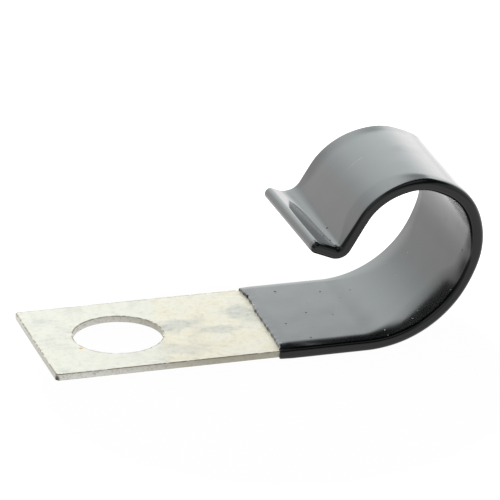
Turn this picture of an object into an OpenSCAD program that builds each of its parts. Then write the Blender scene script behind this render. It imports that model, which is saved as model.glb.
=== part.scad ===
// J-clamp: a flat steel strap with a bolt hole at one end, curled at the other
// into a hook that holds a cable. The curl is dipped in vinyl.
// Sizes are in mm. The origin is the centre of the bolt hole on the strap's
// underside, +X runs along the strap to the curl and +Z is up.

/* [Strap] */
// Width of the steel strap
strap_w = 19.05; // [16:0.05:26]
// Thickness of the steel strap
strap_t = 0.8; // [0.5:0.05:1.2]
// Chamfer on the corners of the strap's two ends
corner_break = 0.5; // [0.3:0.1:1.5]

/* [Bolt hole] */
// Diameter of the bolt hole
hole_d = 10.9; // [5:0.1:12]
// From the bolt hole's centre to the bare end
hole_to_end = 10.2; // [8:0.1:20]

/* [Hook] */
// From the bolt hole's centre to where the strap starts to lift
hole_to_lift = 28.3; // [22:0.1:45]
// Inside radius of the wide bend that lifts the strap, over the coat
lift_r = 13; // [9:0.5:20]
// Angle of the wide bend
lift_angle = 74.05; // [60:0.05:84]
// Inside radius of the bend that the cable sits in, over the coat
seat_r = 7; // [5:0.25:9]
// Angle of the cable's bend
seat_angle = 164.05; // [145:0.05:172]
// Straight run from the cable's bend down to the lip
drop_l = 4; // [2:0.1:7]
// Inside radius of the lip's bend, over the coat
lip_r = 0.45; // [0.3:0.05:1.5]
// Angle that the lip turns outwards
lip_angle = 80.4; // [50:0.1:95]
// Length of the steel lip past its bend
lip_l = 2.4; // [1.5:0.05:5]

/* [Vinyl coat] */
// From the bolt hole's centre to the dip line, where the coat starts
hole_to_dip = 17.8; // [9:0.1:21]
// Thickness of the coat on the strap's faces
coat_face = 0.35; // [0.25:0.05:0.6]
// Thickness of the coat on the strap's long edges
coat_edge = 0.3; // [0.2:0.05:0.6]
// Thickness of the coat over the end of the lip
coat_end = 0.4; // [0.3:0.05:0.7]
// How far in from each edge the coat starts to thin
shoulder_w = 3.2; // [1.5:0.1:4]
// Radius of the curve along which the coat thins
shoulder_r = 25; // [16:1:60]
// Radius of the coat's corners
coat_corner_r = 0.45; // [0.3:0.05:0.6]

/* [Hidden] */
$fn = 180;

// Half the coat's thickness and width, from the middle of the strap
coat_half_t = strap_t / 2 + coat_face;
coat_half_w = strap_w / 2 + coat_edge;

// Across the width, where the coat's flat middle ends, where its corner has its
// centre and where the shoulder between them runs into the corner
flat_y = coat_half_w - shoulder_w;
corner_y = coat_half_w - coat_corner_r;
tangent_y = flat_y + (corner_y - flat_y) * shoulder_r / (shoulder_r - coat_corner_r);

// Height of the corner's centre, at which its arc runs on from the shoulder's
corner_z = coat_half_t - shoulder_r
    + sqrt(pow(shoulder_r - coat_corner_r, 2) - pow(corner_y - flat_y, 2));

// A move along the middle of the strap is [length, radius, angle]. A bend takes
// its inside radius over the coat, and an angle that is positive if it curls up.
function run(length) = [length, 0, 0];
function bend(inside_r, angle) = [0, inside_r + coat_half_t, angle];

// The curl, from where the strap starts to lift to the end of the lip's bend
curl = [
    bend(lift_r, lift_angle),
    bend(seat_r, seat_angle),
    run(drop_l),
    bend(lip_r, -lip_angle),
];

// The strap runs from the bare end, and the coat from the dip line to its nose
strap_path = concat([run(hole_to_end + hole_to_lift)], curl, [run(lip_l)]);
nose_l = lip_l + coat_end - coat_half_t;
coat_path = concat([run(hole_to_lift - hole_to_dip)], curl, [run(nose_l)]);

// A straight piece of a path is drawn this far past its two ends, and a bend as
// a whole ring. Both are trimmed on the planes that they share with their neighbours.
lap = 0.2;

// Edge of the blocks that trim, larger than any bend
trim_size = 4 * (lift_r + seat_r + strap_w);

// A block that fills one side of the plane across the strap at the origin
module trim(side) {
    translate([side * trim_size / 2, 0, 0])
        cube(trim_size, center = true);
}

// Its 2D child drawn along +X. In the child, x is the width and y the thickness.
module straight(length) {
    translate([-lap, 0, 0])
        rotate([90, 0, 90])
            linear_extrude(length + 2 * lap)
                children();
}

// Its 2D child turned into a ring that passes the origin along +X, centre above
module ring(radius) {
    translate([0, 0, radius])
        rotate([90, 0, 0])
            rotate(180)
                rotate_extrude()
                    translate([radius, 0])
                        rotate(90)
                            children();
}

// Moves its child from the start of a move to the end of it
module past(move) {
    centre_z = sign(move[2]) * move[1];
    translate([move[0], 0, centre_z])
        rotate([0, -move[2], 0])
            translate([0, 0, -centre_z])
                children();
}

// Its 2D child carried along one move
module piece(move) {
    difference() {
        if (move[2] == 0)
            straight(move[0])
                children();
        else if (move[2] > 0)
            ring(move[1])
                children();
        else
            mirror([0, 0, 1])
                ring(move[1])
                    children();
        trim(-1);
        past(move)
            trim(1);
    }
}

// Its 2D child carried along a whole path
module follow(path, i = 0) {
    if (i < len(path)) {
        piece(path[i])
            children();
        past(path[i])
            follow(path, i + 1)
                children();
    }
}

// Moves its child to the end of a path
module at_end(path, i = 0) {
    if (i < len(path))
        past(path[i])
            at_end(path, i + 1)
                children();
    else
        children();
}

// Cuts for the two corners of a strap's end at the origin
module end_corners() {
    side = sqrt(2) * corner_break;
    for (y = [-strap_w / 2, strap_w / 2])
        translate([0, y, 0])
            rotate(45)
                cube([side, side, 2 * strap_t], center = true);
}

// The part of the coat's section between two distances from its middle
module band(side, from_y, to_y) {
    translate([side * (from_y + to_y) / 2, 0])
        square([to_y - from_y, 2 * coat_half_t], center = true);
}

// The coat's section, filled: flat in the middle, with shoulders that thin
// towards the two edges and rounded corners
module coat_section() {
    square([2 * flat_y, 2 * coat_half_t], center = true);
    for (side = [-1, 1]) {
        intersection() {
            translate([side * flat_y, coat_half_t - shoulder_r])
                circle(shoulder_r);
            translate([side * flat_y, shoulder_r - coat_half_t])
                circle(shoulder_r);
            band(side, flat_y, tangent_y);
        }
        intersection() {
            union() {
                for (z = [-corner_z, corner_z])
                    translate([side * corner_y, z])
                        circle(coat_corner_r);
                translate([side * corner_y, 0])
                    square([2 * coat_corner_r, 2 * corner_z], center = true);
            }
            band(side, tangent_y, coat_half_w);
        }
    }
}

// The coat's round nose over the end of the lip: half its section turned half round
module nose() {
    difference() {
        ring(0)
            intersection() {
                coat_section();
                translate([0, -coat_half_t])
                    square([2 * coat_half_w, 2 * coat_half_t], center = true);
            }
        trim(-1);
    }
}

// Steel strap: one flat strip, sheared, punched and bent
module steel_strap() {
    color([0.80, 0.80, 0.76])
        difference() {
            translate([-hole_to_end, 0, strap_t / 2])
                difference() {
                    follow(strap_path)
                        square([strap_w, strap_t], center = true);
                    end_corners();
                    at_end(strap_path)
                        end_corners();
                }
            translate([0, 0, -strap_t])
                cylinder(d = hole_d, h = 3 * strap_t);
        }
}

// Vinyl coat: dipped over the strap's curl, so the strap's own shape is its pocket
module vinyl_coat() {
    color([0.04, 0.04, 0.045])
        difference() {
            translate([hole_to_dip, 0, strap_t / 2]) {
                follow(coat_path)
                    coat_section();
                at_end(coat_path)
                    nose();
            }
            steel_strap();
        }
}

steel_strap();
vinyl_coat();
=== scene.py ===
"""A J-clamp: a bare steel strap with a bolt hole, curled into a hook that is dipped in black vinyl."""

import bmesh
import bpy
import numpy as np
from mathutils import Matrix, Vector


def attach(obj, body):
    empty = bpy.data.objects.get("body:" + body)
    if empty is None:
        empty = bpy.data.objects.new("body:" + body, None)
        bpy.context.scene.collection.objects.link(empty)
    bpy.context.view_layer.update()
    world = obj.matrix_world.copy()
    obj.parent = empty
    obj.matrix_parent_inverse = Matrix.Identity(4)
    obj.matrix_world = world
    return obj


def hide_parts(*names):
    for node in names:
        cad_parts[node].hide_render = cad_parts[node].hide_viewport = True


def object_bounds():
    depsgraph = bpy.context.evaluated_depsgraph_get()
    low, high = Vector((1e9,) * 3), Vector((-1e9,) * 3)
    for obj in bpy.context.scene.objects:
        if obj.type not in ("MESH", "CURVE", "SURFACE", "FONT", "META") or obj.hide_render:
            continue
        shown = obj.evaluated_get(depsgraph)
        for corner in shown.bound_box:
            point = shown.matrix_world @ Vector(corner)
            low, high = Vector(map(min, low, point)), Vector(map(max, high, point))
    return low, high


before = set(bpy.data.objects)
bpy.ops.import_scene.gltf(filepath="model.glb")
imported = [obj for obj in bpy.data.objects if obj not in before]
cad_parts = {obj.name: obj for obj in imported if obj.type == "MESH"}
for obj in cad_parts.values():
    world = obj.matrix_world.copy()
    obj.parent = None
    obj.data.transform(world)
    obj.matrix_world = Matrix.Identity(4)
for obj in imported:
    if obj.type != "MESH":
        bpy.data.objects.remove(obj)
cad_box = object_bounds()

# Steel strap
# One strip of thin zinc-plated steel, sheared to length, punched with a bolt hole at
# its bare end and bent into a hook with a turned-out lip. It runs on inside the coat.
MM = 0.001
strap_half_w = 9.525
strap_half_t = 0.4
strap_mid_z = 0.4
bare_end = -10.2
end_slope = 0.047
corner_break = 0.3
hole_r = 5.45
edge_r = 0.07

# The path of the strap's middle from the hole's centre: a flat run, a wide lift, the cable
# seat, a straight drop, the lip's bend and the lip. Each move is a length and the angle turned.
flat_run = 28.3
lift_r = 13.75
lift_angle = 74.05
seat_r = 7.75
seat_angle = 164.05
drop_run = 4.0
lip_r = 1.2
lip_angle = 80.4
lip_run = 6.0
lip_bend = lip_r * np.radians(lip_angle)
moves = np.array([(flat_run, 0.0),
                  (lift_r * np.radians(lift_angle), lift_angle),
                  (seat_r * np.radians(seat_angle), seat_angle),
                  (drop_run, 0.0),
                  (lip_bend, -lip_angle),
                  (lip_run, 0.0)])
lip_at = moves[:5, 0].sum()
lip_start = lip_at - lip_bend
strap_end = lip_at + 2.4

# The hook came off its tool a little out of square: lengths along the strap, and how far
# its near and far edges are off there, along X and Z
off_at = (40.0, 47.0, 53.0, 58.0, 63.0, 68.0, 74.0)
off_near = np.array([(0.0, 0.0), (0.09, 0.13), (0.15, 0.27), (0.1, 0.07),
                     (0.15, -0.1), (0.13, -0.03), (0.0, 0.0)])
off_far = np.array([(0.0, 0.0), (0.1, 0.2), (0.56, 0.56), (0.47, 0.06),
                    (0.33, -0.2), (0.09, -0.25), (-0.2, -0.17)])

# Colours of the plate, of the marks on it and of the sheared edge
plate_grey = (0.667, 0.645, 0.573, 1.0)
plate_cream = (0.7, 0.637, 0.51, 1.0)
smudge_grey = (0.43, 0.43, 0.405, 1.0)
grain_grey = (0.41, 0.405, 0.36, 1.0)
scuff_pale = (0.84, 0.83, 0.76, 1.0)
rust_brown = (0.52, 0.33, 0.13, 1.0)
sheared_pale = (0.74, 0.73, 0.68, 1.0)
sheared_warm = (0.46, 0.44, 0.36, 1.0)
sheared_end = (0.6, 0.6, 0.55, 1.0)
sheared_speck = (0.33, 0.31, 0.255, 1.0)
burr_brown = (0.24, 0.18, 0.115, 1.0)
corner_dark = (0.11, 0.1, 0.09, 1.0)

# Smudges on the top face: place along and across, half length and half width, strength
smudges = ((18.5, 4.8, 2.6, 4.0, 1.0), (10.1, 3.2, 4.0, 2.4, 1.0),
           (15.0, 0.9, 4.5, 1.6, 0.8), (8.8, -3.5, 3.5, 2.0, 0.6))
rust_place = (-5.24, -2.93, 0.8)
rust_size = (0.34, 0.28, 0.3)
corner_place = (-9.7, -9.5, 0.2)
corner_size = (0.5, 0.5, 0.7)


def eased(values, start, end):
    """0 at start, 1 at end, and a smooth rise between them."""
    share = np.clip((values - start) / (end - start), 0.0, 1.0)
    return share * share * (3 - 2 * share)


def out_of_square(along, across):
    """Shifts along X, Y and Z: eased from each length to the next, and even from near to far edge."""
    steps = np.stack([eased(along, start, end) for start, end in zip(off_at, off_at[1:])], axis=-1)
    near = steps @ np.diff(off_near, axis=0)
    far = steps @ np.diff(off_far, axis=0)
    shift = near + (far - near) * (0.5 + 0.5 * across / strap_half_w)[..., None]
    return np.insert(shift, 1, 0.0, axis=-1)


def on_strap(along, across, above):
    """Points from a length along the square strap, a distance across it and a height above its middle.

    The heading grows evenly with length round each bend. A point is the running sum of
    the heading's cosine and sine, moved square to the heading by the height above.
    """
    path_start = -20.0
    knots = np.concatenate([[path_start, 0.0], np.cumsum(moves[:, 0])])
    turned = np.radians(np.concatenate([[0.0, 0.0], np.cumsum(moves[:, 1])]))
    steps = np.linspace(path_start, knots[-1], 20001)
    middles = np.interp((steps[1:] + steps[:-1]) / 2, knots, turned)
    pace = np.diff(steps)
    run_x = path_start + np.concatenate([[0.0], np.cumsum(np.cos(middles) * pace)])
    run_z = strap_mid_z + np.concatenate([[0.0], np.cumsum(np.sin(middles) * pace)])
    heading = np.interp(along, knots, turned)
    x = np.interp(along, steps, run_x) - above * np.sin(heading)
    z = np.interp(along, steps, run_z) + above * np.cos(heading)
    return np.stack([x, across + 0.0 * x, z], axis=-1)


def skin(name, points, round_again, values=None):
    """A closed mesh over a grid of points in mm: rows by columns.

    The columns always run on into the first one, and the rows too if round_again is true.
    Points in the same place are joined, which closes poles and seams. Each entry of
    values is a number or a vector for every point, kept as an attribute of that name.
    """
    same_place = 1e-8
    rows, columns = points.shape[:2]
    index = np.arange(rows * columns).reshape(rows, columns)
    if round_again:
        index = np.vstack([index, index[:1]])
    index = np.hstack([index, index[:, :1]])
    quads = np.stack([index[:-1, :-1], index[1:, :-1], index[1:, 1:], index[:-1, 1:]], axis=-1)
    mesh = bpy.data.meshes.new(name)
    mesh.from_pydata((points.reshape(-1, 3) * MM).tolist(), [], quads.reshape(-1, 4).tolist())
    for label, numbers in (values or {}).items():
        kind, field = ("FLOAT", "value") if numbers.ndim == 2 else ("FLOAT_VECTOR", "vector")
        layer = mesh.attributes.new(label, kind, "POINT")
        layer.data.foreach_set(field, np.ascontiguousarray(numbers, dtype=np.float32).ravel())
    work = bmesh.new()
    work.from_mesh(mesh)
    bmesh.ops.remove_doubles(work, verts=work.verts, dist=same_place)
    work.to_mesh(mesh)
    work.free()
    mesh.shade_smooth()
    piece = bpy.data.objects.new(name, mesh)
    bpy.context.scene.collection.objects.link(piece)
    return piece


def strap_rays():
    """Directions from the hole's centre, in order round it, to points along the strap's outline.

    The points are even along the lip's end and along the sides past the hole, the angles
    are even round the hole, and two more meet each broken corner of the bare end.
    """
    past_hole = 18.0
    before_end = strap_end - 0.6
    first_angle = 29.0
    angle_step = 1.5
    lip_end = np.arctan2(np.linspace(-strap_half_w, strap_half_w, 25), strap_end)
    side = np.arctan2(strap_half_w, np.linspace(before_end, past_hole, 62))
    round_hole = np.radians(np.arange(first_angle, 360.0 - first_angle, angle_step))
    ends = np.array([bare_end, bare_end + corner_break])
    breaks = np.array([strap_half_w - corner_break, strap_half_w])
    far_breaks = np.arctan2(breaks, ends - end_slope * strap_half_w)
    near_breaks = np.arctan2(-breaks, ends + end_slope * strap_half_w)
    rays = np.concatenate([lip_end, side, -side, round_hole, far_breaks, near_breaks])
    return np.unique(np.round(np.mod(rays, 2 * np.pi), 5))


def outline(rays, inset):
    """Along each ray, the distance to the nearest of the outline's eight edges, moved in by inset.

    The bare end was sheared a little out of square: it slopes along the strap.
    """
    grazing = 1e-6
    slope = np.sqrt(0.5)
    sheared = np.array([-1.0, -end_slope]) / np.hypot(1.0, end_slope)
    normals = np.array([(1, 0), sheared, (0, 1), (0, -1),
                        (slope, slope), (slope, -slope), (-slope, slope), (-slope, -slope)])
    lip_corner = slope * (strap_end + strap_half_w - corner_break)
    bare_corner = slope * (strap_half_w - bare_end - corner_break)
    longer = slope * end_slope * strap_half_w
    reach = np.array([strap_end, bare_end * sheared[0], strap_half_w, strap_half_w,
                      lip_corner, lip_corner, bare_corner + longer, bare_corner - longer])
    facing = normals @ np.stack([np.cos(rays), np.sin(rays)])
    facing = np.where(facing > grazing, facing, grazing)
    return ((reach[:, None, None] - inset[None, :, None]) / facing[:, None, :]).min(axis=0)


def strap_grid():
    """Rings round the bolt hole, each a mix of the hole's circle and the strap's outline.

    They pass up the hole's wall, out over the top, down the sheared edge and back in
    below, with a small round at each corner, so the strap closes on itself both ways.
    Two rings close to each round keep the face beside it flat. The second result is 1 on
    the sheared edge and the hole's wall and 0 on the faces, the third is 1 on the small
    rounds, where the burr is.
    """
    first_ring = edge_r + 0.03
    next_ring = 0.12
    burr_from = 0.4
    turn = np.linspace(0.0, np.pi / 2, 4)
    low = strap_half_t - edge_r
    spread = np.linspace(0.0, 1.0, 72)
    hole_up = (0 * turn, hole_r + edge_r * (1 - np.cos(turn)), 0 * turn, low + edge_r * np.sin(turn))
    share = np.concatenate([[0.0], spread, [1.0]])
    hole_rim = hole_r + first_ring + next_ring * (np.arange(len(share)) > 0)
    edge_rim = first_ring + next_ring * (np.arange(len(share)) < len(spread) + 1)
    face = (share, hole_rim, edge_rim, strap_half_t + 0 * share)
    edge_down = (1 + 0 * turn, hole_r + 0 * turn,
                 edge_r * (1 - np.sin(turn)), low + edge_r * np.cos(turn))
    upper = np.concatenate([hole_up, face, edge_down], axis=1)
    lower = upper[:, ::-1] * np.array([[1], [1], [1], [-1]])
    share, circle, inset, height = np.concatenate([upper, lower], axis=1)
    wall = np.concatenate([0.5 + 0.5 * np.cos(2 * turn), 0 * face[0], 0.5 - 0.5 * np.cos(2 * turn)])
    wall = np.concatenate([wall, wall[::-1]])
    rim = np.sin(turn) > burr_from
    burr = np.concatenate([rim, [1.0], 0 * spread, [1.0], rim[::-1]])
    burr = np.concatenate([burr, burr[::-1]])
    rays = strap_rays()
    reach = share[:, None] * outline(rays, inset) + ((1 - share) * circle)[:, None]
    along = reach * np.cos(rays)
    across = reach * np.sin(rays)
    points = on_strap(along, across, height[:, None] + 0 * reach) + out_of_square(along, across)
    return points, wall[:, None] + 0 * reach, burr[:, None] + 0 * reach


class Socket:
    """A socket of a node tree. Sums, products and the like add Math nodes, node() any other."""

    def __init__(self, tree, socket=None):
        self.tree = tree
        self.socket = socket

    def node(self, kind, settings=None, values=None, out=0):
        """Adds a node: its settings come first, then its sockets' values or links."""
        made = self.tree.nodes.new(kind)
        for label, setting in (settings or {}).items():
            setattr(made, label, setting)
        for label, value in (values or {}).items():
            if isinstance(value, Socket):
                self.tree.links.new(value.socket, made.inputs[label])
            else:
                made.inputs[label].default_value = value
        return Socket(self.tree, made.outputs[out] if made.outputs else None)

    def maths(self, operation, first, second):
        """A Math node on two numbers."""
        return self.node("ShaderNodeMath", {"operation": operation}, {0: first, 1: second})

    def __add__(self, other):
        return self.maths("ADD", self, other)

    __radd__ = __add__

    def __sub__(self, other):
        return self.maths("SUBTRACT", self, other)

    def __rsub__(self, other):
        return self.maths("SUBTRACT", other, self)

    def __mul__(self, other):
        return self.maths("MULTIPLY", self, other)

    __rmul__ = __mul__

    def larger(self, other):
        """The larger of two numbers."""
        return self.maths("MAXIMUM", self, other)

    def step(self, start, end):
        """0 below start, 1 above end and a smooth rise between them; falls if start is above end."""
        settings = {"interpolation_type": "SMOOTHSTEP"}
        low, high = (0.0, 1.0) if start < end else (1.0, 0.0)
        values = {0: self, 1: min(start, end), 2: max(start, end), 3: low, 4: high}
        return self.node("ShaderNodeMapRange", settings, values)

    def vector(self, operation, *others, out="Vector"):
        """A Vector Math node on this vector and the others that the operation takes."""
        values = dict(enumerate((self, *others)))
        return self.node("ShaderNodeVectorMath", {"operation": operation}, values, out)

    def scaled(self, factors):
        """A vector multiplied axis by axis."""
        return self.vector("MULTIPLY", factors)

    def turned(self, angle):
        """A vector turned about Z by an angle in radians."""
        return self.node("ShaderNodeMapping", None, {"Vector": self, "Rotation": (0.0, 0.0, angle)})

    def axis(self, number):
        """A vector's X, Y or Z."""
        return self.node("ShaderNodeSeparateXYZ", None, {0: self}, number)

    def near(self, centre, size):
        """1 in the core of a soft ellipsoid at a centre, with a size for each axis, and 0 outside."""
        core = 0.35
        centre = np.array(centre)
        size = np.array(size)
        offset = self.vector("MULTIPLY_ADD", tuple(1 / size), tuple(-centre / size))
        return offset.vector("LENGTH", out="Value").step(1.0, core)

    def noise(self, scale, detail=2.0, roughness=0.5, out="Fac"):
        """Soft noise from 0 to 1 at this many lumps per unit, as a number or a colour."""
        values = {"Vector": self, "Scale": scale, "Detail": detail, "Roughness": roughness}
        return self.node("ShaderNodeTexNoise", None, values, out)

    def dots(self, scale):
        """The distance to the nearest of scattered dots, this many of them per unit."""
        return self.node("ShaderNodeTexVoronoi", None, {"Vector": self, "Scale": scale})

    def between(self, first, second):
        """A colour that goes from the first to the second as this number goes from 0 to 1."""
        return self.node("ShaderNodeMix", {"data_type": "RGBA"}, {0: self, 6: first, 7: second}, 2)


def finish_tree(label):
    """A new material with an empty tree: the material, its tree and the object's coordinates in mm."""
    material = bpy.data.materials.new(label)
    material.use_nodes = True
    tree = material.node_tree
    tree.nodes.clear()
    place = Socket(tree).node("ShaderNodeTexCoord", out="Object")
    return material, Socket(tree), place.scaled((1 / MM, 1 / MM, 1 / MM))


def zinc():
    """Dull zinc plate: greyish up to a line past the hole and creamy from there, smudged and scuffed.

    The sheared edges are darker and speckled, with a thin brown line along the burr.
    """
    material, tools, place = finish_tree("zinc_plate")
    wall = tools.node("ShaderNodeAttribute", {"attribute_name": "sheared"}, out="Fac")
    burr = tools.node("ShaderNodeAttribute", {"attribute_name": "burr"}, out="Fac")
    cloud = place.noise(0.3, 4.0, 0.6)
    mottle = place.noise(1.3, 6.0, 0.65)
    grain = place.noise(7.0, 3.0, 0.7)
    scuff = place.turned(0.35).scaled((0.3, 5.0, 1.0)).noise(1.0, 3.0, 0.6)

    # The plate's two tints, parted by a wavy line across the strap
    line_from = 4.4
    line_to = 5.6
    line_slope = 0.147
    line_wave = 1.5
    past_line = place.axis(0) - line_slope * place.axis(1) + line_wave * (mottle - 0.5)
    cream = past_line.step(line_from, line_to) * (0.35 + 0.65 * cloud.step(0.38, 0.6))
    colour = cream.between(plate_grey, plate_cream)

    # Smudges with stirred outlines, dark grain and pale scuffs
    top_z = 2 * strap_half_t
    smudge_deep = 3.0
    stir = (5.0, 5.0, 0.0)
    swirl = place.noise(0.45, 3.0, out="Color")
    stirred = swirl.vector("MULTIPLY_ADD", stir, place)
    patches = 0.0
    for x, y, half_x, half_y, strength in smudges:
        patch = stirred.near((x, y, top_z), (half_x, half_y, smudge_deep))
        patches = (strength * patch).larger(patches)
    smudge = patches * (0.3 + 0.8 * mottle)
    smudge = smudge + 0.5 * cloud.step(0.48, 0.75) + 0.45 * mottle.step(0.48, 0.74)
    colour = (0.8 * smudge).between(colour, smudge_grey)
    colour = (0.32 * grain.step(0.5, 0.72)).between(colour, grain_grey)
    colour = (0.5 * scuff.step(0.62, 0.7)).between(colour, scuff_pale)

    # The sheared edge, warmer towards the coat, its burr, a dark corner and a spot of rust
    speck = place.noise(3.5, 4.0, 0.7).step(0.5, 0.68)
    toward_coat = place.axis(0).step(-6.0, 12.0)
    bright = toward_coat.between(sheared_pale, sheared_warm)
    end = (place.axis(0) + end_slope * place.axis(1)).step(bare_end + 0.25, bare_end + 0.1)
    bright = end.between(bright, sheared_end)
    sheared = (0.55 * speck).between(bright, sheared_speck)
    colour = wall.between(colour, sheared)
    brown = 0.85 * burr * place.noise(1.4, 3.0).step(0.36, 0.52)
    colour = brown.between(colour, burr_brown)
    colour = place.near(corner_place, corner_size).between(colour, corner_dark)
    colour = place.near(rust_place, rust_size).between(colour, rust_brown)

    rough = 0.46 + 0.14 * mottle + 0.05 * wall
    height = 0.5 * mottle + 0.3 * grain - 0.4 * scuff.step(0.64, 0.72) + 0.6 * wall * speck
    values = {"Strength": 0.3, "Distance": 0.04 * MM, "Height": height}
    bump = tools.node("ShaderNodeBump", None, values)
    values = {"Base Color": colour, "Metallic": 1.0, "Roughness": rough, "Normal": bump}
    shader = tools.node("ShaderNodeBsdfPrincipled", None, values)
    tools.node("ShaderNodeOutputMaterial", None, {"Surface": shader})
    return material


strap_points, strap_wall, strap_burr = strap_grid()
strap = skin("steel_strap_plated", strap_points, True, {"sheared": strap_wall, "burr": strap_burr})
strap.data.materials.append(zinc())
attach(strap, "root")
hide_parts("steel_strap")

# Vinyl coat
# Black vinyl that the hot curl was dipped in. It is thickest in the middle of the faces,
# thins towards the edges, closes over the end of the lip and stops at a ragged dip line.
dip_at = 17.8
coat_half_w = 9.825
rim_thinner = 0.05
rim_narrower = 0.6 * rim_thinner

# How the coat thins towards each edge of a face, on the flat, in the bowl of the hook, past
# the bowl, up its back, from its top on and at the lip: half the thickness in the middle, where
# the flat middle ends, the radius of the bend there, the slope in degrees that it ends in, and
# the edge's round, as the width and height of a quarter of an ellipse. A rim that flares out
# has a radius and a slope below 0. The sizes change over these lengths.
changes = ((28.0, 37.0), (41.0, 44.5), (45.0, 50.0), (56.0, 64.0), (68.5, 73.0))
inside_near = np.array([
    (0.79, 7.8, 8.5, 8.5, 0.78, 0.45),
    (0.95, 4.4, 27.0, 7.6, 0.8, 0.45),
    (0.9, 7.0, 9.0, 12.0, 0.6, 0.5),
    (0.85, 8.4, 5.0, 6.0, 0.9, 0.76),
    (0.75, 4.5, 10.0, 3.2, 0.4, 0.35),
    (0.75, 8.5, 4.0, 3.0, 0.7, 0.6)])
outside_near = np.array([
    (0.75, 8.9, 4.0, 2.0, 0.45, 0.5),
    (0.88, 8.7, 4.0, 2.0, 0.6, 0.65),
    (0.89, 8.5, 5.0, 3.0, 0.7, 0.7),
    (0.9, 8.4, 6.0, 4.0, 0.9, 0.75),
    (0.86, 6.0, 30.0, 1.5, 0.5, 0.45),
    (0.75, 8.5, 4.0, 3.0, 0.7, 0.6)])
inside_far = np.array([
    (0.79, 8.6, 6.0, 3.0, 0.6, 0.5),
    (0.95, 6.0, 30.0, 4.0, 0.6, 0.45),
    (0.9, 7.4, 18.0, 3.0, 0.6, 0.45),
    (0.85, 8.7, 6.0, 2.0, 0.6, 0.45),
    (0.75, 8.7, 6.0, 2.0, 0.6, 0.45),
    (0.75, 8.7, 6.0, 0.6, 0.6, 0.45)])
outside_far = np.array([
    (0.75, 8.6, 6.0, 3.0, 0.6, 0.5),
    (0.88, 8.7, 6.0, 0.5, 0.6, 0.45),
    (0.89, 8.7, 6.0, 0.5, 0.6, 0.45),
    (0.9, 7.4, -18.0, -1.5, 0.7, 0.45),
    (0.86, 6.6, -30.0, -3.0, 0.6, 0.45),
    (0.75, 8.7, 6.0, 0.6, 0.6, 0.45)])

# The lip's nose starts here and is a little blunter than a half round, which would be 1. The
# hollow between hook and lip has a radius that grows from the near edge to the far one.
nose_axis = lip_at + 2.22
nose_blunt = 0.88
hollow_near_r = 0.7
hollow_far_r = 2.2
hollow_growth = 1.3

# The dip line wanders along the strap: places across the strap and how far past dip_at. Its
# ragged edge fades out along the coat, and the faces have slight waves.
dip_across = np.array([-9.8, -8.0, -6.4, -4.3, -2.1, 0.2, 1.8, 3.6, 4.9, 6.3, 7.0, 8.2, 9.6])
dip_past = np.array([-0.4, -0.17, -0.06, 0.0, 0.0, 0.05, 0.06, 0.15, 0.26, 0.28, 0.26, 0.12, 0.0])
dip_fade = 0.7
ragged_h = 0.075
ragged_length = 1.5
ragged_seed = 3
wave_h = 0.003
wave_length = 7.0
wave_seed = 5

# Marks that a worn coat has, in mm: pits and pale specks where they lie, with a radius, and
# a scratch and a rubbed patch, by length along, distance across and height above the middle.
# The last two pale specks, on the dip line, are painted highlights where the rim catches light.
pits = ((21.76, 6.99, 1.16, 0.2), (23.58, -0.2, 1.17, 0.17), (20.25, -2.78, 1.17, 0.17),
        (21.96, -7.51, 1.17, 0.17), (27.18, 5.58, 1.2, 0.17), (30.76, 4.58, 1.55, 0.17),
        (24.75, -4.02, 13.73, 0.2), (24.16, -7.13, 13.48, 0.17), (18.1, 6.81, 0.95, 0.38))
specks_and_rim_highlights = ((33.5, -4.28, 2.4, 0.17), (31.11, -8.1, 1.4, 0.17), (31.09, -9.29, 1.2, 0.17),
          (34.58, -8.23, 2.58, 0.17), (35.46, -7.45, 3.21, 0.17), (18.05, 3.9, 1.05, 0.3),
          (18.0, -7.9, 1.0, 0.3))
scratch_turn = 0.25
scratch_middle = (62.23, 17.22, -0.75)
scratch_size = (2.0, 0.14, 0.5)
rubbed_middle = (58.5, 1.3, -0.75)
rubbed_size = (2.6, 2.2, 1.0)
vinyl_black = (0.0035, 0.0035, 0.004, 1.0)
mark_and_highlight_white = (1.0, 1.0, 1.0, 1.0)


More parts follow.
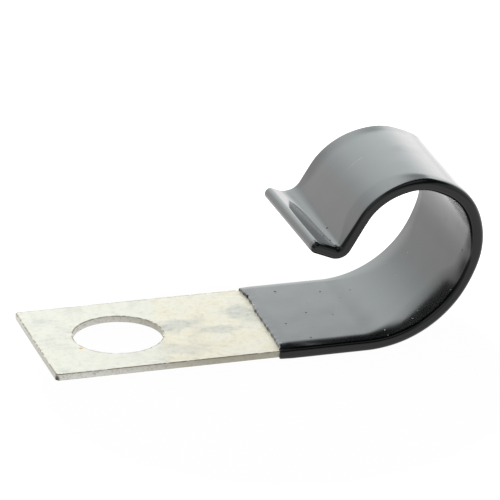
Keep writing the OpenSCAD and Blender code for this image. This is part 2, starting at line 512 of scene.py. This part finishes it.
def coat_quarter(sizes, along, rim):
    """A quarter of the coat's section at each length along: where it meets the steel, and in full.

    The full one runs flat from the middle of a face, bends down over an arc, slopes evenly
    towards the edge and turns a quarter of an ellipse to the middle of the edge. The
    steel's is a plain corner. The sizes are eased from one row of the table to the next,
    and are a little less where rim is 1, at the dip line.
    """
    here = sizes[0] + sum((after - before) * eased(along, start, end)[:, None]
                          for before, after, (start, end) in zip(sizes, sizes[1:], changes))
    thick, flat_half_w, shoulder_r, lean, round_w, round_h = here.T[:, :, None]
    thick = thick - rim_thinner * rim[:, None]
    half_w = coat_half_w - rim_narrower * rim[:, None]
    lean = np.radians(lean)
    begin = np.arctan(np.tan(lean) * round_w / round_h)
    flat_points = 31
    bend_points = 9
    slope_points = 8
    round_points = 15
    side_points = 4
    flat = flat_half_w * np.linspace(0.0, 1.0, flat_points)[:-1]
    wide = lean * np.linspace(0.0, 1.0, bend_points)
    share = np.linspace(0.0, 1.0, round_points)[1:]
    tight = begin + (np.pi / 2 - begin) * share
    side = np.linspace(1.0, 0.0, side_points)[1:]
    round_y = half_w - round_w
    slope_y = flat_half_w + shoulder_r * np.sin(lean)
    slope_z = thick - shoulder_r * (1 - np.cos(lean))
    slope_w = round_y + round_w * np.sin(begin) - slope_y
    down = slope_y + slope_w * np.linspace(0.0, 1.0, slope_points)[1:]
    face_y = np.hstack([flat, flat_half_w + shoulder_r * np.sin(wide), down])
    face_z = np.hstack([thick + 0 * flat, thick - shoulder_r * (1 - np.cos(wide)),
                        slope_z - (down - slope_y) * np.tan(lean)])
    round_z = face_z[:, -1:] - round_h * np.cos(begin)
    full_y = np.hstack([face_y, round_y + round_w * np.sin(tight), half_w + 0 * side])
    full_z = np.hstack([face_z, round_z + round_h * np.cos(tight), round_z * side])
    out = np.clip(2 * share, 0.0, 1.0) * (strap_half_w - face_y[:, -1:])
    fall = np.clip(2 * share - 1, 0.0, 1.0) * (strap_half_t - round_z)
    steel_y = np.hstack([face_y, face_y[:, -1:] + out, strap_half_w + 0 * round_z * side])
    steel_z = np.hstack([strap_half_t + 0 * face_y, strap_half_t - fall, round_z * side])
    return np.stack([np.stack([steel_y, steel_z], axis=-1), np.stack([full_y, full_z], axis=-1)])


def coat_loops(along, rim):
    """Four quarters joined to a loop at each length, from the inside face round by the far edge."""
    far_in = coat_quarter(inside_far, along, rim)
    far_out = coat_quarter(outside_far, along, rim)[:, :, -2::-1] * (1, -1)
    near_out = coat_quarter(outside_near, along, rim)[:, :, 1:] * (-1, -1)
    near_in = coat_quarter(inside_near, along, rim)[:, :, -2:0:-1] * (-1, 1)
    return np.concatenate([far_in, far_out, near_out, near_in], axis=2)


def ripple(along, across, seed, longest, count=14):
    """Smooth waves from about -1 to 1: a sum of sines with seeded directions, lengths and phases."""
    shortest = 0.35
    draw = np.random.default_rng(seed)
    angle = draw.uniform(0.0, 2 * np.pi, count)
    wave = 2 * np.pi / (longest * draw.uniform(shortest, 1.0, count))
    phase = draw.uniform(0.0, 2 * np.pi, count)
    turn = along[..., None] * np.cos(angle) * wave + across[..., None] * np.sin(angle) * wave
    return np.sin(turn + phase).sum(axis=-1) * np.sqrt(2.0 / count) / 2


def fillet(along, across, thick):
    """The hollow between the hook and its lip, where vinyl has run together.

    Seen from the side it is a corner between two straight lines, a coat's half thickness
    off the steel, rounded by an arc that grows from the near edge to the far one.
    """
    half = np.radians(lip_angle) / 2
    first = np.radians(moves[:4, 1].sum())
    middle = first - half
    last = middle - half
    tight = lip_r - thick
    reach = tight * np.tan(half)
    share = np.clip((along - lip_start) / lip_bend, 0.0, 1.0)
    straight = np.minimum(along - lip_start, 0.0) + np.maximum(along - lip_at, 0.0)
    from_corner = straight + reach * (2 * share - 1)
    fill = np.clip((across + coat_half_w) / (2 * coat_half_w), 0.0, 1.0)
    grown = hollow_near_r + (hollow_far_r - hollow_near_r) * fill ** hollow_growth
    wide = np.maximum(tight, grown)
    span = wide * np.tan(half)
    start = on_strap(np.full_like(along, lip_start), across, -thick)
    corner_x = start[:, 0] + reach * np.cos(first)
    corner_z = start[:, 2] + reach * np.sin(first)
    swing = np.clip(from_corner / span, -1.0, 1.0) * half
    out = wide / np.cos(half) - wide * np.cos(swing)
    on = wide * np.sin(swing)
    before = np.minimum(from_corner + span, 0.0)
    after = np.maximum(from_corner - span, 0.0)
    arc_x = corner_x + out * np.sin(middle) + on * np.cos(middle)
    arc_z = corner_z - out * np.cos(middle) + on * np.sin(middle)
    x = arc_x + before * np.cos(first) + after * np.cos(last)
    z = arc_z + before * np.sin(first) + after * np.sin(last)
    return np.stack([x, across, z], axis=-1)


def coat_grid():
    """Loops of the coat's section carried along the strap, from inside to outside.

    They start at the end of the steel, come back along it to the dip line, climb the rim
    there, and run along the outside to the lip, where the two faces close in a rounded
    nose. The second result is each point's length along, distance across and height above.
    """
    near_lip = lip_at - 3.0
    past_dip = dip_at + 3.0
    inside = np.concatenate([np.linspace(strap_end, near_lip, 16),
                             np.linspace(near_lip - 1.0, dip_at, 40)])
    climb = np.array([0.0, 0.3, 0.55, 0.74, 0.86, 0.94, 0.985, 1.0])
    climb_along = dip_at + np.array([0.0, 0.0, 0.006, 0.025, 0.06, 0.12, 0.2, 0.3])
    outside = np.concatenate([np.linspace(dip_at + 0.4, past_dip, 18)[:-1],
                              np.linspace(past_dip, near_lip, 150)[:-1],
                              np.linspace(near_lip, nose_axis, 48)])
    bulge = np.linspace(0.0, np.pi / 2, 19)[1:]
    along = np.concatenate([inside, climb_along[1:], outside, nose_axis + 0 * bulge])
    lift = np.concatenate([0 * inside, climb[1:], 1 + 0 * outside, 1 + 0 * bulge])
    steel, outer = coat_loops(along, 1 - eased(along, dip_at, dip_at + 1.5))
    loop = steel + lift[:, None, None] * (outer - steel)
    across = loop[..., 0]
    above = loop[..., 1]

    # The dip line and the waves differ between the two faces, which lie apart in the pattern
    face = np.sign(above)
    wander = np.interp(across, dip_across, dip_past)
    ragged = ragged_h * ripple(across + 3.0 * face, 0 * across, ragged_seed, ragged_length)
    fade = np.exp(-(along - dip_at) / dip_fade)
    shift = (wander + ragged) * fade[:, None]
    length = along[:, None] + shift
    waves = wave_h * ripple(length, across + 40.0 * face, wave_seed, wave_length)
    swell = lift * eased(along, dip_at, dip_at + 2.0) * eased(along, nose_axis, lip_at)
    off_edge = np.abs(above) > 0.5
    above = above + face * waves * swell[:, None] * off_edge

    # The nose, and the ends of the grid drawn together
    turn = np.concatenate([np.zeros(len(along) - len(bulge)), bulge])
    length = length + np.abs(above) * (np.sin(turn) ** nose_blunt)[:, None]
    above = above * (np.clip(np.cos(turn), 0.0, 1.0) ** nose_blunt)[:, None]
    above[-1] = 0.0
    across[0] = 0.0
    above[0] = 0.0
    laid = np.stack([length, across, above], axis=-1)
    points = on_strap(length, across, above)
    outside_rows = (lift == 1.0) & (along < nose_axis) & (along > lip_start - drop_run)
    valley = outside_rows[:, None] & (above < -0.1)
    points[valley] = fillet(length[valley], across[valley], -above[valley])
    return points + out_of_square(length, across), laid


def dotted(mask, place, marks):
    """A mask with a soft round dot of a given radius added at each mark."""
    for x, y, z, radius in marks:
        mask = mask.larger(place.near((x, y, z), (radius, radius, radius)))
    return mask


def vinyl():
    """Black vinyl with a soft gloss, uneven in long streaks, with pits, dust, a scratch and two
    painted highlights on the dip line.

    Streaks, scratch and rubbed patch follow the strap, the rest lies in the object's space.
    """
    material, tools, place = finish_tree("dipped_vinyl")
    laid = tools.node("ShaderNodeAttribute", {"attribute_name": "laid"}, out="Vector")
    along = laid.axis(0)
    soft = place.noise(0.5, 2.0)
    fine = place.noise(7.0, 3.0, 0.6)
    mottled = place.noise(1.6, 3.0, 0.6)
    streak = laid.scaled((0.35, 1.6, 1.0)).noise(1.0, 3.0)

    # Marks: scattered ones on the flat and in the bowl, and those with a place of their own, two of
    # which are painted highlights on the dip line
    below_hook = along.step(50.0, 46.0)
    pit = dotted(place.dots(0.35).step(0.045, 0.025) * below_hook, place, pits)
    # Pale specks: scattered dust and the listed specks, among them two painted highlights on the dip
    # rim
    dust_and_highlights = dotted(place.dots(0.4).step(0.03, 0.015) * below_hook, place, specks_and_rim_highlights)
    scratch = laid.turned(scratch_turn).near(scratch_middle, scratch_size) * fine.step(0.25, 0.5)
    rubbed = laid.near(rubbed_middle, rubbed_size)
    pale = (0.6 * dust_and_highlights).larger(0.08 * scratch)
    colour = pale.between(vinyl_black, mark_and_highlight_white)

    # The flat and the bowl are a little duller than the hook
    flat = along.step(42.0, 22.0)
    bowl = along.step(33.0, 40.0) * along.step(54.0, 47.0)
    rough = 0.07 + 0.04 * soft + 0.04 * streak + 0.03 * fine + 0.04 * flat + 0.065 * bowl
    rough = rough + 0.7 * pit + 0.5 * dust_and_highlights + 0.06 * rubbed
    uneven = 0.8 * soft + 0.5 * streak + 0.6 * mottled + 0.1 * fine
    height = uneven + rubbed * (0.6 * fine + 4.0 * mottled) - 2.0 * pit
    values = {"Strength": 0.14, "Distance": 0.02 * MM, "Height": height}
    bump = tools.node("ShaderNodeBump", None, values)
    values = {"Base Color": colour, "Roughness": rough, "IOR": 1.45, "Normal": bump}
    shader = tools.node("ShaderNodeBsdfPrincipled", None, values)
    tools.node("ShaderNodeOutputMaterial", None, {"Surface": shader})
    return material


coat_points, coat_laid = coat_grid()
coat = skin("vinyl_coat_dipped", coat_points, False, {"laid": coat_laid})
coat.data.materials.append(vinyl())
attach(coat, "root")
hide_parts("vinyl_coat")

# Floor and light
# A plain white table inside a white tent. The wall behind the clamp is the brightest, more so
# to the right, where its top edge is lower; at the far left the tent is dim. Above the walls
# is a dark gap, and over it a soft light.
floor_z = cad_box[0][2] / MM - 0.005
floor_r = 56.0
floor_mid = (16.0, -14.0)
floor_fade = (27.0, 52.0)
floor_own = 0.98
floor_colour = (0.9, 0.9, 0.9, 1.0)
pure_white = (1.0, 1.0, 1.0, 1.0)
tent_cool = (0.93, 0.99, 1.0, 1.0)

# Brightness: the table's in front and how much more behind, the wall's all round, how much
# less in front, how much more behind and the share lost at the far left, then the light
# overhead and the gap
table_glow = 1.0
table_behind = 0.78
wall_glow = 0.8
wall_front = 0.2
wall_behind = 1.1
left_dimmer = 0.7
overhead_glow = 0.5
gap_glow = 0.06


def round_floor():
    """Rings and spokes on a flat disc, closed at the middle: radius and angle on a grid."""
    spokes = np.linspace(0.0, 2 * np.pi, 97)[:-1]
    rings = np.linspace(0.0, floor_r, 9)[:, None]
    x = floor_mid[0] + rings * np.cos(spokes)
    y = floor_mid[1] + rings * np.sin(spokes)
    return np.stack([x, y, np.full_like(x, floor_z)], axis=-1)


def table_white():
    """White table top: most of its white is its own for the camera and for reflections.

    It fades out round its edge into the tent's white.
    """
    material, tools, place = finish_tree("table_white")
    seen = tools.node("ShaderNodeLightPath", out="Is Camera Ray")
    for ray in ("Is Glossy Ray", "Is Transmission Ray"):
        seen = seen.larger(tools.node("ShaderNodeLightPath", out=ray))
    lit = tools.node("ShaderNodeBsdfDiffuse", None, {"Color": floor_colour})
    own = tools.node("ShaderNodeEmission", None, {"Color": pure_white, "Strength": 1.0})
    mixed = tools.node("ShaderNodeMixShader", None, {0: floor_own * seen, 1: lit, 2: own})
    clear = tools.node("ShaderNodeBsdfTransparent")
    edge = place.vector("DISTANCE", (*floor_mid, floor_z), out="Value").step(*floor_fade)
    faded = tools.node("ShaderNodeMixShader", None, {0: edge, 1: mixed, 2: clear})
    tools.node("ShaderNodeOutputMaterial", None, {"Surface": faded})
    return material


floor = skin("floor", round_floor(), False)
floor.data.materials.append(table_white())

world = bpy.data.worlds.new("tent")
bpy.context.scene.world = world
world.use_nodes = True
world.node_tree.nodes.clear()
tent = Socket(world.node_tree)
look = tent.node("ShaderNodeTexCoord", out="Generated")
sideways = look.axis(0)
behind = look.axis(1)
rise = look.axis(2)
under = rise.step(0.03, -0.05)
table = table_glow + table_behind * behind.step(-0.1, 0.5)
to_right = sideways.step(-0.68, -0.1)
far_left = sideways.step(-0.65, -0.85)
back_wall = behind.step(0.2, 0.6) * (wall_behind + to_right * (0.5 + 2.5 * rise))
round_wall = wall_glow - wall_front * behind.step(-0.2, -0.6)
top_edge = rise + 0.6 * sideways * sideways.step(0.6, 0.35)
wall = top_edge.step(0.7, 0.53) * (round_wall + back_wall) * (1 - left_dimmer * far_left)
overhead = overhead_glow * rise.step(0.88, 0.95)
glow = under * table + (1 - under) * (wall + overhead) + gap_glow
tint = rise.step(0.1, 0.42).between(pure_white, tent_cool)
light = tent.node("ShaderNodeBackground", None, {"Color": tint, "Strength": glow})
tent.node("ShaderNodeOutputWorld", None, {"Surface": light})

# Camera
# It stands where the photo's did: found from the strap's edges, the hole and the hook's
# outlines, in degrees, pixels of a 500 by 500 image and mm.
camera_turn = np.radians(-16.423)
camera_rise = np.radians(22.4147)
camera_roll = np.radians(-0.8802)
image_w = 500.0
pixels_per_mm = 8.3097
camera_far = 360.8
aim_right = 15.7148
aim_up = 11.1236
sensor = 36.0
right = np.array([np.cos(camera_turn), np.sin(camera_turn), 0.0])
back = np.array([np.sin(camera_turn) * np.cos(camera_rise),
                 -np.cos(camera_turn) * np.cos(camera_rise),
                 np.sin(camera_rise)])
up = np.cross(back, right)
stand = (aim_right * right + aim_up * up + camera_far * back) * MM
side_axis = right * np.cos(camera_roll) - up * np.sin(camera_roll)
up_axis = right * np.sin(camera_roll) + up * np.cos(camera_roll)
placed = np.eye(4)
placed[:3] = np.column_stack([side_axis, up_axis, back, stand])
lens = bpy.data.cameras.new("camera")
lens.sensor_width = sensor
lens.lens = sensor * pixels_per_mm * camera_far / image_w
lens.clip_start = 0.01
lens.clip_end = 20.0
camera = bpy.data.objects.new("camera", lens)
camera.matrix_world = Matrix(placed.tolist())
bpy.context.scene.collection.objects.link(camera)
bpy.context.scene.camera = camera
bpy.context.scene.view_settings.view_transform = "Standard"
